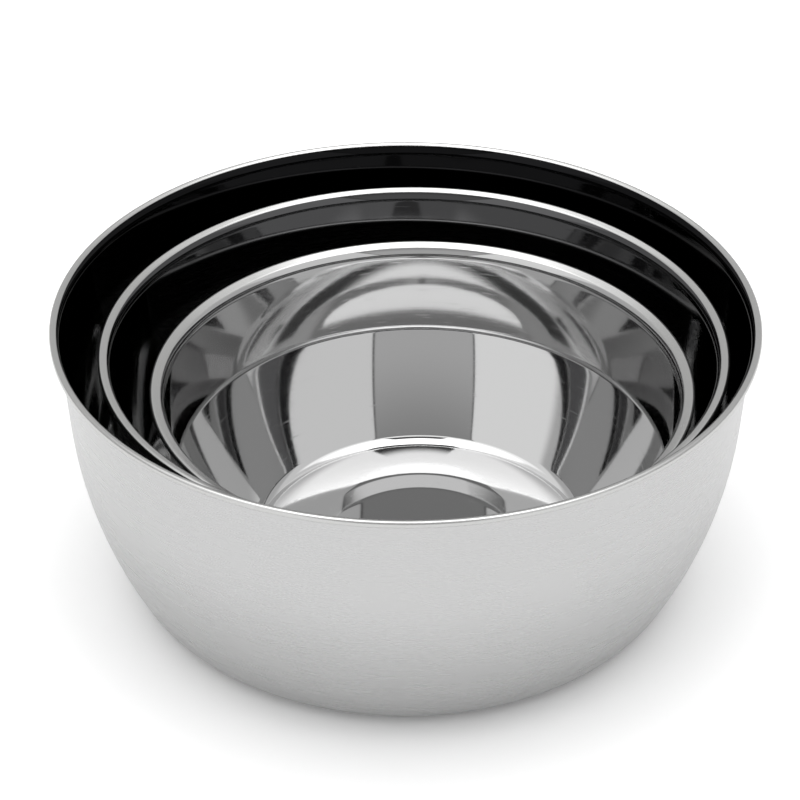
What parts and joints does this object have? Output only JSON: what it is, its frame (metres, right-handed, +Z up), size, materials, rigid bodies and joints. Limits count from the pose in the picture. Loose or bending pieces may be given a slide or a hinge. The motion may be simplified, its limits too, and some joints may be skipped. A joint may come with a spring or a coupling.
{
  "type": "nested bowl set",
  "caption": "Nest of round deep-drawn steel bowls with turned-down lips; each inner bowl stands in the foot hollow of the one below and lifts straight out.",
  "frame": {"origin": "centre of the large bowl's foot, on the plane that it stands on", "axes": "+Z up, out of the bowls; +X is the way the inner bowls have slid off centre"},
  "size_m": [0.18, 0.18, 0.0762],
  "materials": {
    "steel": "mirror-polished inside and lip, fine satin outside"
  },
  "bodies": {
    "large_bowl": {"large_bowl": "steel"},
    "medium_bowl": {"medium_bowl": "steel"},
    "small_bowl": {"small_bowl": "steel"}
  },
  "joints": [
    {"name": "medium_lift", "type": "slide", "parent": "large_bowl", "child": "medium_bowl", "axis": [0, 0, 1], "range_m": [0, 0.09]},
    {"name": "small_lift", "type": "slide", "parent": "medium_bowl", "child": "small_bowl", "axis": [0, 0, 1], "range_m": [0, 0.085]}
  ]
}
